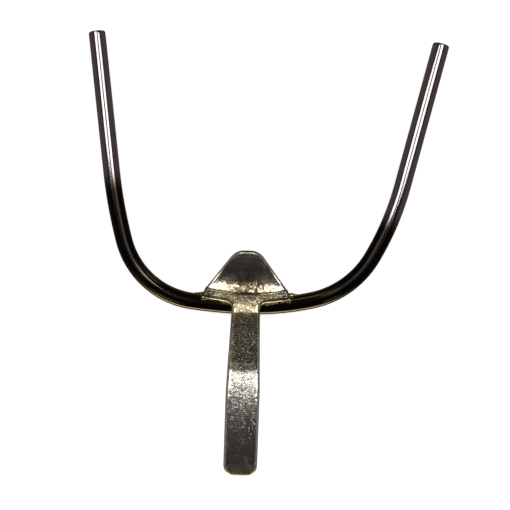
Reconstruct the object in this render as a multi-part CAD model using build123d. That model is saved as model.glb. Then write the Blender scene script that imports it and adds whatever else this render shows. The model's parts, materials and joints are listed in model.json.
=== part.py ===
from build123d import *
import os
from math import asin, cos, degrees, radians, sin, sqrt

# Hand-held frame fork, lying flat on its bar.  Millimetres and degrees.
# +Y points to the prong tips, +Z up, and the bar crosses the handle at X = Y = 0
# until the whole model is moved to its bounding box's bottom centre at the end.

# ---- Round bar ---------------------------------------------------------------------
ROD_D = 8.0
ROD_END_CHAMFER = 0.7

# Each arm from the middle of the base outwards: a slack base bend, the tight corner,
# an easing bend, then the straight prong.  It is bent by hand, so the arms differ.
LEFT_BASE_R = 225.0
LEFT_BASE_TURN = 6.7
LEFT_CORNER_R = 39.0
LEFT_CORNER_TURN = 66.9
LEFT_EASE_R = 232.0
LEFT_EASE_TURN = 8.4
LEFT_PRONG_L = 66.3

RIGHT_BASE_R = 131.0
RIGHT_BASE_TURN = 13.9
RIGHT_CORNER_R = 43.7
RIGHT_CORNER_TURN = 47.3
RIGHT_EASE_R = 137.0
RIGHT_EASE_TURN = 15.5
RIGHT_PRONG_L = 69.9

# ---- Handle strap: flat bar, bent in one plane -------------------------------------
STRAP_T = 4.0
STRAP_EDGE_FLAT = 0.6  # left flat between the two rounded edges of each side
SEAT_DEPTH = 0.8  # the head is pressed this far over the crest of the bar
NECK_W = 13.2
GRIP_W = 15.6
GRIP_START = 38.0  # from the bar's centre line to where the strap reaches full width
HEAD_BACK = 13.0  # flat head behind the bar's centre line, under the tongue
NECK_FLAT = 0.5  # flat length in front of the bar's centre line
RISE_BEND_R = 12.0
RISE_ANGLE = 37.0
RISE_L = 22.5
CREST_BEND_R = 12.0
CREST_TURN = 26.0
ARCH_R = 91.0
ARCH_TURN = 29.7
END_CORNER_R = 5.0

# The head's plan: wings that lie along the back half of the bar.
HEAD_EDGE_Y = 1.4  # front edge at the neck, behind the bar's centre line
WING_TIP_Y = 3.4  # front edge at the wing tips
WING_HALF_W = 21.2
WING_TIP_R = 2.0
NECK_FILLET_R = 3.4
HEAD_BACK_R = 3.0
HEAD_PROUD = 0.6  # the head reaches this far past the tongue's rim corners
HEAD_SHOW = 1.0  # the head stays this far inside the tongue's flat underside, behind the bar

# ---- Tongue: dished plate curling up ahead of the bar --------------------------------
TONGUE_T = 2.6
TONGUE_EDGE_FLAT = 0.8
TONGUE_RIM_Y = 5.5  # rim at the middle
TONGUE_RIM_R = 80.0
TONGUE_HALF_W = 18.8
TONGUE_TIP_HALF_W = 5.8
TONGUE_TIP_R = 8.0
TONGUE_TIP_Y = 26.9
TONGUE_TIP_TRIM = 0.3  # the rounded tip is cut square by this much
TONGUE_FLAT = 5.0
TONGUE_CURL_TURN = 50.0
TONGUE_DISH_R = 75.0
TONGUE_SEAT = 0.3  # depth of the flat ground under the dish, where it lies on the head

# ---- Weld runs: bead radii, and where each bead's middle line lies ---------------------
FRONT_BEAD_R = 1.5
FRONT_BEAD_OUT = 0.3  # ahead of the wing's front edge
FRONT_BEAD_UP = 0.6  # above the head's underside
REAR_BEAD_R = 2.4
REAR_BEAD_DOWN = 1.2  # below the head's underside
NECK_BEAD_R = 2.1
NECK_BEAD_DOWN = 1.2
BACK_BEAD_R = 1.7
RIM_BEAD_INSET = 0.7  # the rim's welds lie this far inside the rim
RIM_BEAD_LEG = 2.6
RIM_BEAD_START = 1.2  # where the wedge opens enough for a bead, in half widths of the seat

# ---- Worked out ------------------------------------------------------------------------
ROD_R = ROD_D / 2
STRAP_EDGE_R = (STRAP_T - STRAP_EDGE_FLAT) / 2
TONGUE_EDGE_R = (TONGUE_T - TONGUE_EDGE_FLAT) / 2
HEAD_UNDER_Z = ROD_D - SEAT_DEPTH
HEAD_TOP_Z = HEAD_UNDER_Z + STRAP_T
FAR = 200.0  # longer than any one piece, for blanks that are cut to shape
SIDE = Plane(origin=(0, 0, 0), x_dir=(0, -1, 0), z_dir=(-1, 0, 0))  # x forward, y up


def bend_line(start, heading, steps, shift=0.0):
    """Edges of a line of straights and tangent bends, moved sideways to its left by shift.

    A step is (None, length) for a straight or (radius, turn) for a bend, turn + to the left.
    Returns the edges, the end point and the end heading.
    """
    x = start[0] - shift * sin(radians(heading))
    y = start[1] + shift * cos(radians(heading))
    edges = []
    for radius, amount in steps:
        along = (cos(radians(heading)), sin(radians(heading)))
        if radius is None:
            edge = Line((x, y), (x + amount * along[0], y + amount * along[1]))
        else:
            bend_r = radius - shift if amount > 0 else radius + shift
            edge = JernArc((x, y), along, bend_r, amount)
            heading += amount
        edges.append(edge)
        end = edge @ 1
        x, y = end.X, end.Y
    return edges, (x, y), heading


def bent_strip(start, steps, thickness, extra=0.0):
    """Side face of a strip bent along its middle line, thicker on its upper side by extra."""
    upper, upper_end, _ = bend_line(start, 0, steps, thickness / 2 + extra)
    lower, lower_end, _ = bend_line(start, 0, steps, -thickness / 2)
    near = Line(lower[0] @ 0, upper[0] @ 0)
    far = Line(upper_end, lower_end)
    return make_face([near, *upper, far, *lower])


LEFT_ARM = [
    (LEFT_BASE_R, -LEFT_BASE_TURN),
    (LEFT_CORNER_R, -LEFT_CORNER_TURN),
    (LEFT_EASE_R, -LEFT_EASE_TURN),
    (None, LEFT_PRONG_L),
]
RIGHT_ARM = [
    (RIGHT_BASE_R, RIGHT_BASE_TURN),
    (RIGHT_CORNER_R, RIGHT_CORNER_TURN),
    (RIGHT_EASE_R, RIGHT_EASE_TURN),
    (None, RIGHT_PRONG_L),
]


def rod_wire(left_steps, right_steps, shift=0.0):
    """The bar's line from the left end to the right, moved towards the prong tips by shift."""
    left, _, _ = bend_line((0, 0), 180, left_steps, -shift)
    right, _, _ = bend_line((0, 0), 0, right_steps, shift)
    return Wire([*left, *right])


def rod_bar(diameter, left_steps, right_steps, shift=0.0, height=0.0):
    """A round bar along the fork's line, at a height above the floor plane."""
    wire = rod_wire(left_steps, right_steps, shift)
    section = Plane(origin=wire @ 0, z_dir=wire % 0) * Circle(diameter / 2)
    return Pos(0, 0, height) * sweep(section, path=wire)


def make_fork_rod():
    rod = rod_bar(ROD_D, LEFT_ARM, RIGHT_ARM, height=ROD_R)
    ends = rod.faces().filter_by(GeomType.PLANE)
    return chamfer(ends.edges(), ROD_END_CHAMFER)


def strap_outline():
    """Plan of the strap: grip, tapering neck, and the winged head.  Its side view cuts the end."""
    back = HEAD_BACK
    back_half_w = tongue_half_width(back) - 2 * TONGUE_EDGE_R - HEAD_SHOW
    corners = [
        (GRIP_W / 2, -FAR),
        (GRIP_W / 2, -GRIP_START),
        (NECK_W / 2, HEAD_EDGE_Y),
        (WING_HALF_W, WING_TIP_Y),
        (TONGUE_HALF_W + HEAD_PROUD, tongue_side_y() + HEAD_PROUD),
        (back_half_w, back),
    ]
    mirrored = [(-x, y) for x, y in reversed(corners)]
    face = make_face(Polyline(*corners, *mirrored, close=True))
    face = fillet(corner_at(face, NECK_W / 2, HEAD_EDGE_Y), NECK_FILLET_R)
    face = fillet(corner_at(face, WING_HALF_W, WING_TIP_Y), WING_TIP_R)
    return fillet(corner_at(face, back_half_w, back), HEAD_BACK_R)


def corner_at(face, x, y, near=1e-3):
    """The outline's corners at (x, y) and (-x, y)."""
    return [v for v in face.vertices() if abs(abs(v.X) - x) < near and abs(v.Y - y) < near]


def tongue_side_y():
    """Y of the tongue's rim corners: the rim is an arc across its width."""
    return TONGUE_RIM_Y + TONGUE_RIM_R - sqrt(TONGUE_RIM_R**2 - TONGUE_HALF_W**2)


def tongue_half_width(y):
    """Half width of the tongue's plan on its straight sides."""
    run = (TONGUE_TIP_Y - y) / (TONGUE_TIP_Y - tongue_side_y())
    return TONGUE_TIP_HALF_W + run * (TONGUE_HALF_W - TONGUE_TIP_HALF_W)


def tongue_outline():
    """Plan of the tongue: arc rim, straight sides and a rounded tip, before the tip is trimmed."""
    side_y = tongue_side_y()
    top_y = TONGUE_TIP_Y + TONGUE_TIP_TRIM
    rim = ThreePointArc((-TONGUE_HALF_W, side_y), (0, TONGUE_RIM_Y), (TONGUE_HALF_W, side_y))
    sides = Polyline(
        (TONGUE_HALF_W, side_y),
        (TONGUE_TIP_HALF_W, top_y),
        (-TONGUE_TIP_HALF_W, top_y),
        (-TONGUE_HALF_W, side_y),
    )
    face = make_face([rim, *sides.edges()])
    return fillet(corner_at(face, TONGUE_TIP_HALF_W, top_y), TONGUE_TIP_R)


STRAP_STEPS = [
    (None, HEAD_BACK + NECK_FLAT),
    (RISE_BEND_R, RISE_ANGLE),
    (None, RISE_L),
    (CREST_BEND_R, -CREST_TURN),
    (ARCH_R, -ARCH_TURN),
]


def sharp_edges(solid, least=45):
    """Edges where the two faces meet at an angle of at least this many degrees."""
    faces = solid.faces()
    found = []
    for edge in solid.edges():
        middle = edge @ 0.5
        normals = [f.normal_at(middle) for f in faces if edge in f.edges()]
        if len(normals) == 2 and normals[0].get_angle(normals[1]) > least:
            found.append(edge)
    return found


def make_strap():
    """The handle with its corners and edges rounded, before the bar's seat is pressed in."""
    start = (-HEAD_BACK, HEAD_UNDER_Z + STRAP_T / 2)
    side = SIDE * bent_strip(start, STRAP_STEPS, STRAP_T)
    strap = extrude(side, FAR / 2, both=True) & extrude(strap_outline(), FAR)
    end_face = strap.faces().sort_by(Axis.Y)[0]
    end_corners = end_face.edges().filter_by(Axis.X, reverse=True)
    strap = fillet(end_corners, END_CORNER_R)
    return fillet(sharp_edges(strap), STRAP_EDGE_R)


def tongue_plate(extra=0.0):
    """The dished and curled plate before its outline is cut, thicker on its upper side by extra."""
    middle_z = HEAD_TOP_Z + TONGUE_T / 2 - TONGUE_SEAT
    turn = radians(TONGUE_CURL_TURN)
    tip_y = TONGUE_TIP_Y - TONGUE_T / 2 * sin(turn)
    curl_r = (tip_y - TONGUE_RIM_Y - TONGUE_FLAT) / sin(turn)
    steps = [(None, TONGUE_FLAT + TONGUE_T), (curl_r, TONGUE_CURL_TURN)]
    start = (TONGUE_RIM_Y - TONGUE_T, middle_z)
    side = Plane.YZ * bent_strip(start, steps, TONGUE_T, extra)
    dish = Axis((0, 0, middle_z + TONGUE_DISH_R), (0, 1, 0))
    half_sweep = degrees(asin((TONGUE_HALF_W + 2 * TONGUE_T) / TONGUE_DISH_R))
    return revolve(side.rotate(dish, -half_sweep), dish, 2 * half_sweep)


def make_tongue(strap):
    tongue = tongue_plate() & extrude(tongue_outline(), FAR)
    tongue = fillet(sharp_edges(tongue), TONGUE_EDGE_R)
    return tongue - strap


def bead(wire, radius):
    """A round-ended weld bead along a line, before the pieces that it joins are cut away."""
    section = Plane(origin=wire @ 0, z_dir=wire % 0) * Circle(radius)
    ends = [Pos(*(wire @ t)) * Sphere(radius) for t in (0, 1)]
    return sweep(section, path=wire) + ends


def rear_bead():
    """Under the head, behind the bar, from wing tip to wing tip."""
    half = WING_HALF_W - WING_TIP_R
    left = [(LEFT_BASE_R, -degrees(half / LEFT_BASE_R))]
    right = [(RIGHT_BASE_R, degrees(half / RIGHT_BASE_R))]
    wire = rod_wire(left, right, shift=ROD_R)
    return Pos(0, 0, HEAD_UNDER_Z - REAR_BEAD_DOWN) * bead(wire, REAR_BEAD_R)


def cross_bead(half_length, y, z, radius):
    """A bead straight across the handle."""
    return bead(Wire([Line((-half_length, y, z), (half_length, y, z))]), radius)


def front_bead(side):
    """Along a wing's front edge, on the crest of the bar; side is -1 left, +1 right."""
    z = HEAD_UNDER_Z + FRONT_BEAD_UP
    near = (side * (NECK_W / 2 + NECK_FILLET_R), HEAD_EDGE_Y, z)
    far = (side * (WING_HALF_W - WING_TIP_R), WING_TIP_Y, z)
    return bead(Wire([Pos(0, -FRONT_BEAD_OUT, 0) * Line(near, far)]), FRONT_BEAD_R)


def rim_bead(side):
    """Filling the wedge between the head and the rising side of the tongue's rim."""
    seat_half_w = sqrt(2 * TONGUE_DISH_R * TONGUE_SEAT)
    near = RIM_BEAD_START * seat_half_w
    far = TONGUE_HALF_W - RIM_BEAD_INSET - TONGUE_EDGE_R
    outer_r = TONGUE_RIM_R - RIM_BEAD_INSET
    band = Circle(outer_r) - Circle(outer_r - RIM_BEAD_LEG)
    band = Pos(0, TONGUE_RIM_Y + TONGUE_RIM_R) * band
    width = far - near
    window = Pos(side * (near + width / 2), TONGUE_RIM_Y) * Rectangle(width, 2 * TONGUE_TIP_Y)
    block = extrude(band & window, HEAD_TOP_Z + TONGUE_T + STRAP_T)
    bottom_z = HEAD_TOP_Z - STRAP_EDGE_R
    return split(block, Plane.XY.offset(bottom_z), keep=Keep.TOP) - tongue_plate(extra=2 * STRAP_T)


def trimmed(raw, *pieces):
    """A raw bead with the pieces that it touches cut away."""
    for piece in pieces:
        raw = raw - piece
    return raw


def bottom_centre(shapes):
    """Bottom centre of the box round all the shapes."""
    boxes = [shape.bounding_box() for shape in shapes]
    low_x, high_x = min(b.min.X for b in boxes), max(b.max.X for b in boxes)
    low_y, high_y = min(b.min.Y for b in boxes), max(b.max.Y for b in boxes)
    return Vector((low_x + high_x) / 2, (low_y + high_y) / 2, min(b.min.Z for b in boxes))


def main():
    os.makedirs("parts", exist_ok=True)
    rod = make_fork_rod()
    strap = make_strap() - rod
    tongue = make_tongue(strap)
    rear = trimmed(rear_bead(), rod, strap)
    neck_half = NECK_W / 2 - NECK_BEAD_R
    neck = cross_bead(neck_half, -ROD_R, HEAD_UNDER_Z - NECK_BEAD_DOWN, NECK_BEAD_R)
    back_half = tongue_half_width(HEAD_BACK) - HEAD_BACK_R - 2 * BACK_BEAD_R
    back = cross_bead(back_half, HEAD_BACK, HEAD_TOP_Z - STRAP_EDGE_R, BACK_BEAD_R)
    parts = {
        "fork_rod": rod,
        "handle_strap": strap,
        "thumb_tongue": tongue,
        "weld_rear": rear,
        "weld_neck": trimmed(neck, rod, strap),
        "weld_tongue_back": trimmed(back, strap, tongue),
    }
    for side, name in ((-1, "left"), (1, "right")):
        parts[f"weld_front_{name}"] = trimmed(front_bead(side), rod, strap, rear)
        parts[f"weld_tongue_{name}"] = trimmed(rim_bead(side), strap, tongue)

    origin = bottom_centre(parts.values())
    for name, part in parts.items():
        export_step(Location(-origin) * part, f"parts/{name}.step")


if __name__ == "__main__":
    main()
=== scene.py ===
import json
import math

import bmesh
import bpy
import numpy as np
from bpy.props import FloatProperty, FloatVectorProperty, IntProperty, PointerProperty
from mathutils import Matrix, Vector, geometry


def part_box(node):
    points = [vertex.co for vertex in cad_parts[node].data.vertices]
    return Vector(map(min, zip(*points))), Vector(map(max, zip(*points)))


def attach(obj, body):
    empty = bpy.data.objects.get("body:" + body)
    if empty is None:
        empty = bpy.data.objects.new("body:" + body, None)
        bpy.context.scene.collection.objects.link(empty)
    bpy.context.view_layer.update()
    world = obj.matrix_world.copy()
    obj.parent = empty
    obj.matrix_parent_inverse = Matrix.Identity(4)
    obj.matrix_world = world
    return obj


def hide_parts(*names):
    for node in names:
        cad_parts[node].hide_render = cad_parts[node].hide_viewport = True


bl_info = {
    "name": "Frame Fork Maker",
    "version": (1, 0, 0),
    "blender": (4, 5, 0),
    "location": "3D View > Sidebar > Frame Fork",
    "description": "Makes the bar, handle, tongue and welds of a hand-held hive frame fork",
    "category": "Add Mesh",
}

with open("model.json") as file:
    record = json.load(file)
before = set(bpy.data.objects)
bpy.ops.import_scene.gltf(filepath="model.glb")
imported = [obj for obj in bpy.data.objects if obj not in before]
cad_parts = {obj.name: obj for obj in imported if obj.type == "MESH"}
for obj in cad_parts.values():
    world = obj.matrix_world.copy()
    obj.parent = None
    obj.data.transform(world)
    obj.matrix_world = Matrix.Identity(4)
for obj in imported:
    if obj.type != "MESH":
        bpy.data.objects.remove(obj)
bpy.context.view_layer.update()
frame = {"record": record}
MM = 0.001

# ---- What the frame says about where things are --------------------------------------
MOUNTS = {mount["name"]: mount for mount in frame["record"]["mounts"]}
BAR_D = 2 * MOUNTS["left_prong"]["dims"]["r_mm"] * MM
BAR_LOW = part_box("fork_rod")[0]
STRAP_LOW, STRAP_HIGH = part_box("handle_strap")
# The crossing, where the handle's middle line meets the bar's: every plan size is taken from it
CROSS_X = (STRAP_LOW.x + STRAP_HIGH.x) / 2
CROSS_Y = BAR_LOW.y + BAR_D / 2


def length(name, description, default):
    """A length property in metres."""
    return FloatProperty(
        name=name, description=description, default=default, unit="LENGTH", subtype="DISTANCE",
        precision=5
    )


def angle(name, description, degrees):
    """An angle property, its default given in degrees."""
    return FloatProperty(
        name=name, description=description, default=math.radians(degrees), unit="ROTATION",
        subtype="ANGLE"
    )


def colour(name, description, default):
    """A linear colour property."""
    return FloatVectorProperty(
        name=name, description=description, default=default, size=3, subtype="COLOR",
        min=0.0, max=1.0
    )


class FrameForkBar(bpy.types.PropertyGroup):
    """Sizes of the bent round bar."""

    diameter: length("Bar diameter", "Diameter of the round bar", BAR_D)
    end_round: length("End rounding", "Radius rubbed onto the cut ends", 0.7 * MM)
    left_base_r: length("Left base radius", "Slack bend of the base, left half", 225 * MM)
    left_base_turn: angle("Left base turn", "Turn of the base, left half", 6.7)
    left_corner_r: length("Left corner radius", "Tight bend of the left arm", 39 * MM)
    left_corner_turn: angle("Left corner turn", "Turn of the left corner", 66.9)
    left_ease_r: length("Left easing radius", "Bend that runs out into the left prong", 232 * MM)
    left_ease_turn: angle("Left easing turn", "Turn of the left easing bend", 8.4)
    left_prong: length("Left prong length", "Straight part of the left prong", 66.3 * MM)
    right_base_r: length("Right base radius", "Slack bend of the base, right half", 131 * MM)
    right_base_turn: angle("Right base turn", "Turn of the base, right half", 13.9)
    right_corner_r: length("Right corner radius", "Tight bend of the right arm", 43.7 * MM)
    right_corner_turn: angle("Right corner turn", "Turn of the right corner", 47.3)
    right_ease_r: length("Right easing radius", "Bend that runs out into the right prong", 137 * MM)
    right_ease_turn: angle("Right easing turn", "Turn of the right easing bend", 15.5)
    right_prong: length("Right prong length", "Straight part of the right prong", 69.9 * MM)
    ring_spacing: length("Ring spacing", "Distance between rings of the bar's mesh", 0.7 * MM)
    sides: IntProperty(name="Sides", description="Facets round the bar", default=56, min=8)


class FrameForkStrap(bpy.types.PropertyGroup):
    """Sizes of the handle strap."""

    thickness: length("Strap thickness", "Thickness of the flat bar", 4 * MM)
    edge_r: length("Strap edge radius", "Rounding of the strap's edges", 1.7 * MM)
    seat: length("Seat depth", "How far the head is pressed over the bar", 0.8 * MM)
    neck_w: length("Neck width", "Width where the strap crosses the bar", 13.2 * MM)
    grip_w: length("Grip width", "Width of the arched grip", 15.6 * MM)
    grip_start: length("Grip start", "Distance in front of the bar of full width", 38 * MM)
    head_back: length("Head length", "Flat head behind the bar's centre line", 13 * MM)
    neck_back: length("Neck start", "Where the neck starts to rise, behind the bar's line", 4 * MM)
    neck_r: length("Neck bend radius", "Slack bend over the bar", 45 * MM)
    neck_turn: angle("Neck turn", "Turn of the slack bend over the bar", 8)
    rise_r: length("Rise bend radius", "Bend from the neck into the rise", 7 * MM)
    rise_turn: angle("Rise turn", "Turn of the bend into the rise", 27)
    rise: length("Rise length", "Straight rising stretch", 25.25 * MM)
    crest_r: length("Crest bend radius", "Bend from the rise into the arch", 12 * MM)
    crest_turn: angle("Crest turn", "Turn of the bend from the rise into the arch", 24)
    arch_r: length("Arch radius", "Radius of the slack arch of the grip", 91 * MM)
    arch_turn: angle("Arch turn", "Turn of the arch", 29.7)
    end_r: length("End corner radius", "Rounding of the handle's end corners", 5 * MM)
    wing_front: length("Wing front at neck", "Wing's front edge behind the bar's line", 1.4 * MM)
    wing_tip_y: length("Wing front at tip", "Front edge at the wing tips", 3.4 * MM)
    wing_half_w: length("Wing half width", "Half width over the wing tips", 21.2 * MM)
    wing_tip_r: length("Wing tip radius", "Rounding of the wing tips", 2 * MM)
    proud: length("Head past rim", "How far the head reaches past the tongue's corners", 0.6 * MM)
    neck_fillet: length("Neck fillet", "Inner radius between neck and wing", 3.4 * MM)


class FrameForkTongue(bpy.types.PropertyGroup):
    """Sizes of the dished tongue."""

    thickness: length("Tongue thickness", "Thickness of the plate", 2.6 * MM)
    edge_r: length("Tongue edge radius", "Rounding of the plate's edges", 0.9 * MM)
    rim_y: length("Rim", "Middle of the rim behind the bar's line", 5.5 * MM)
    rim_r: length("Rim radius", "Radius of the rim's arc", 80 * MM)
    half_w: length("Half width", "Half width at the rim before rounding", 19.4 * MM)
    tip_half_w: length("Tip half width", "Half width of the tip before rounding", 5.5 * MM)
    tip_r: length("Tip corner radius", "Rounding of the tip's corners", 8 * MM)
    tip_y: length("Tip", "Tip of the plate's middle behind the bar's line", 25.9 * MM)
    corner_r: length("Rim corner radius", "Rounding of the rim's two corners", 1.1 * MM)
    flat: length("Flat", "Length before the curl starts", 4 * MM)
    dip: angle("Dip", "Slope down from the rim before the curl starts", 3.5)
    curl: angle("Curl", "Slope reached at the tip", 50)
    dish_r: length("Dish radius", "Radius of the dish across the width", 75 * MM)
    seat: length("Seat", "Depth of the flat under the dish", 0.3 * MM)


class FrameForkWelds(bpy.types.PropertyGroup):
    """Sizes of the weld runs."""

    front_r: length("Front bead radius", "Beads along the wings' front edges", 1.15 * MM)
    rear_r: length("Rear bead radius", "Bead behind the bar", 2.4 * MM)
    neck_r: length("Neck bead radius", "Bead in front of the bar", 2.1 * MM)
    back_r: length("Back bead radius", "Bead behind the head, under the tongue", 1.7 * MM)
    pitch: length("Ripple pitch", "Distance between ripples", 1.4 * MM)
    voxel: length("Fusing size", "Grid size used to fuse the ripples", 0.12 * MM)
    seed: IntProperty(name="Seed", description="Seed of the uneven ripples", default=7)


class FrameForkFinish(bpy.types.PropertyGroup):
    """Colours of the finishes."""

    steel: colour("Bar steel", "Polished steel of the bar", (0.24, 0.227, 0.238))
    strip: colour("Strip steel", "Tumbled steel of the handle and tongue", (0.86, 0.83, 0.76))
    stain: colour("Handling stain", "Brown film left in the pores", (0.34, 0.27, 0.18))
    tint: colour("Heat tint", "Straw colour left beside a weld", (0.66, 0.55, 0.30))
    # On the bar this brown also stands in as painted shade, dimming the lamps' highlights on the
    # lower arms.
    browned: colour("Browned bar", "Bar browned by the heat of welding", (0.13, 0.112, 0.08))
    # This near-black colour is painted shade: it hides the lamps' reflection on the bar's lower
    # arms.
    scale: colour("Scale", "Dark scale at the edge of the browned part", (0.013, 0.011, 0.01))


class FrameForkStage(bpy.types.PropertyGroup):
    """Camera, lamps and floor."""

    camera_height: length("Camera height", "Height of the lens above the bar's middle", 0.6)
    field: length("Field", "Width seen at the height of the bar", 0.2429)
    aim_x: length("Aim across", "View's middle from the crossing, across", 3.43 * MM)
    aim_y: length("Aim along", "View's middle from the crossing, towards the tips", 24.41 * MM)
    roll: angle("Roll", "Turn of the camera about the view's line", 2.0)
    lamp_power: FloatProperty(
        name="Lamp power", description="Power of each lamp in watts", default=3.6, min=0.0
    )
    lamp_angle: angle("Lamp angle", "Angle of each lamp from straight up, sideways", 20)
    lamp_distance: length("Lamp distance", "Distance of each lamp from the bar", 1.2)
    lamp_width: length("Lamp width", "Size of each lamp across the fork", 0.54)
    lamp_length: length("Lamp length", "Size of each lamp along the fork", 0.38)


# ---- Lines and outlines --------------------------------------------------------------


def bend_points(start, heading, steps, spacing):
    """Rows of x, y and heading along straights and tangent bends in a plane.

    A step is (None, length) or (radius, turn), turn + to the left.  Every joint has a row.
    """
    x, y = start
    rows = [(x, y, heading)]
    for radius, amount in steps:
        span = amount if radius is None else radius * abs(amount)
        count = max(1, round(span / spacing))
        for i in range(1, count + 1):
            part = i / count
            if radius is None:
                px = x + amount * part * math.cos(heading)
                py = y + amount * part * math.sin(heading)
                turned = heading
            else:
                side = math.copysign(1, amount)
                turned = heading + amount * part
                px = x + side * radius * (math.sin(turned) - math.sin(heading))
                py = y - side * radius * (math.cos(turned) - math.cos(heading))
            rows.append((px, py, turned))
        x, y, heading = rows[-1]
    return rows


def rounded_outline(corners, spacing):
    """A closed outline through corners (x, y, radius), walked anticlockwise, finely divided."""
    points = []
    count = len(corners)
    for i, (x, y, radius) in enumerate(corners):
        here = Vector((x, y))
        if radius <= 0:
            points.append(here)
            continue
        back = (Vector(corners[i - 1][:2]) - here).normalized()
        ahead = (Vector(corners[(i + 1) % count][:2]) - here).normalized()
        half = back.angle(ahead) / 2
        middle = here + (back + ahead).normalized() * radius / math.sin(half)
        first = here + back * radius / math.tan(half) - middle
        turn = math.pi - 2 * half
        if back.x * ahead.y - back.y * ahead.x > 0:
            turn = -turn
        steps = max(3, round(abs(turn) * radius / spacing))
        for k in range(steps + 1):
            part = turn * k / steps
            cos_part, sin_part = math.cos(part), math.sin(part)
            swung = Vector((
                first.x * cos_part - first.y * sin_part,
                first.x * sin_part + first.y * cos_part,
            ))
            points.append(middle + swung)
    closed = []
    for i, point in enumerate(points):
        after = points[(i + 1) % len(points)]
        cuts = max(1, round((after - point).length / spacing))
        closed += [point.lerp(after, k / cuts) for k in range(cuts)]
    return closed


def outline_normals(outline):
    """Outward unit normals of an anticlockwise outline."""
    normals = []
    for i in range(len(outline)):
        along = outline[(i + 1) % len(outline)] - outline[i - 1]
        normals.append(Vector((along.y, -along.x)).normalized())
    return normals


def inner_points(contour, spacing):
    """Grid points inside a contour, and clear enough of it to leave no thin triangles."""
    clear = 0.6 * spacing
    ring = np.array([tuple(p) for p in contour])
    low, high = ring.min(0), ring.max(0)
    xs = np.arange(low[0] + spacing / 2, high[0], spacing)
    ys = np.arange(low[1] + spacing / 2, high[1], spacing)
    ax, ay = ring[:, 0], ring[:, 1]
    bx, by = np.roll(ax, -1), np.roll(ay, -1)
    kept = []
    for y in ys:
        crossing = (ay > y) != (by > y)
        cut = ax[crossing] + (y - ay[crossing]) * (bx - ax)[crossing] / (by - ay)[crossing]
        for x in xs:
            inside = np.count_nonzero(cut > x) % 2 == 1
            if inside and np.hypot(ax - x, ay - y).min() > clear:
                kept.append(Vector((x, y)))
    return kept


EDGE_STEPS = 6  # steps in each rounded edge of a plate
SAME_POINT = 1e-9  # outline points closer than this would be merged


def plate_mesh(name, outline, thickness, edge_r, place, spacing):
    """A plate with rounded edges: its outline and thickness are laid on a surface by place.

    place(x, y, h) gives the point at height h above the surface's point (x, y).
    """
    normals = outline_normals(outline)
    quarter = [math.pi / 2 * k / EDGE_STEPS for k in range(EDGE_STEPS + 1)]
    profile = [
        (edge_r * (1 - math.sin(a)), thickness / 2 - edge_r * (1 - math.cos(a))) for a in quarter
    ]
    profile += [(inset, -height) for inset, height in reversed(profile)]
    mesh_maker = bmesh.new()

    def add(x, y, h):
        return mesh_maker.verts.new(place(x, y, h))

    rings = []
    for inset, height in profile:
        ring = [add(p.x - n.x * inset, p.y - n.y * inset, height) for p, n in zip(outline, normals)]
        rings.append(ring)
    count = len(outline)
    for upper, lower in zip(rings, rings[1:]):
        for i in range(count):
            j = (i + 1) % count
            mesh_maker.faces.new((upper[i], upper[j], lower[j], lower[i]))
    contour = [p - n * edge_r for p, n in zip(outline, normals)]
    inside = inner_points(contour, spacing)
    flat, _, triangles, _, _, _ = geometry.delaunay_2d_cdt(
        contour + inside, [], [list(range(count))], 1, SAME_POINT
    )
    for ring, height in ((rings[0], thickness / 2), (rings[-1], -thickness / 2)):
        verts = [ring[i] if i < count else add(p.x, p.y, height) for i, p in enumerate(flat)]
        for triangle in triangles:
            mesh_maker.faces.new([verts[i] for i in triangle])
    bmesh.ops.recalc_face_normals(mesh_maker, faces=mesh_maker.faces)
    for face in mesh_maker.faces:
        face.smooth = True
    mesh = bpy.data.meshes.new(name)
    mesh_maker.to_mesh(mesh)
    mesh_maker.free()
    return mesh


def finished(name, mesh, material, slot, *nodes):
    """Links a piece, gives it its material, and ties it to the frame."""
    piece = bpy.data.objects.new(name, mesh)
    bpy.context.scene.collection.objects.link(piece)
    mesh.materials.clear()
    mesh.materials.append(material)
    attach(piece, "root")
    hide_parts(*nodes)
    return piece


# ---- Node helpers --------------------------------------------------------------------


def add_node(tree, kind, inputs=None, **settings):
    """A node with its settings, and inputs given as values or as sockets to link."""
    node = tree.nodes.new(kind)
    for key, value in settings.items():
        setattr(node, key, value)
    for key, value in (inputs or {}).items():
        if isinstance(value, bpy.types.NodeSocket):
            tree.links.new(value, node.inputs[key])
        else:
            node.inputs[key].default_value = value
    return node


def maths(tree, operation, *values):
    """A Math node's result."""
    node = add_node(tree, "ShaderNodeMath", dict(enumerate(values)), operation=operation)
    return node.outputs["Value"]


def vector_maths(tree, operation, *values):
    """A Vector Math node's result: a number for DISTANCE and DOT_PRODUCT."""
    node = add_node(tree, "ShaderNodeVectorMath", dict(enumerate(values)), operation=operation)
    return node.outputs["Value" if operation in ("DISTANCE", "DOT_PRODUCT") else "Vector"]


def axes(tree, vector):
    """The X, Y and Z sockets of a vector."""
    return add_node(tree, "ShaderNodeSeparateXYZ", {"Vector": vector}).outputs


def modifier_tree(name, inputs):
    """A Geometry Nodes tree with these named inputs."""
    tree = bpy.data.node_groups.new(name, "GeometryNodeTree")
    tree.interface.new_socket("Geometry", in_out="INPUT", socket_type="NodeSocketGeometry")
    for label, kind in inputs:
        tree.interface.new_socket(label, in_out="INPUT", socket_type=kind)
    tree.interface.new_socket("Geometry", in_out="OUTPUT", socket_type="NodeSocketGeometry")
    return tree, tree.nodes.new("NodeGroupInput"), tree.nodes.new("NodeGroupOutput")


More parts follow.
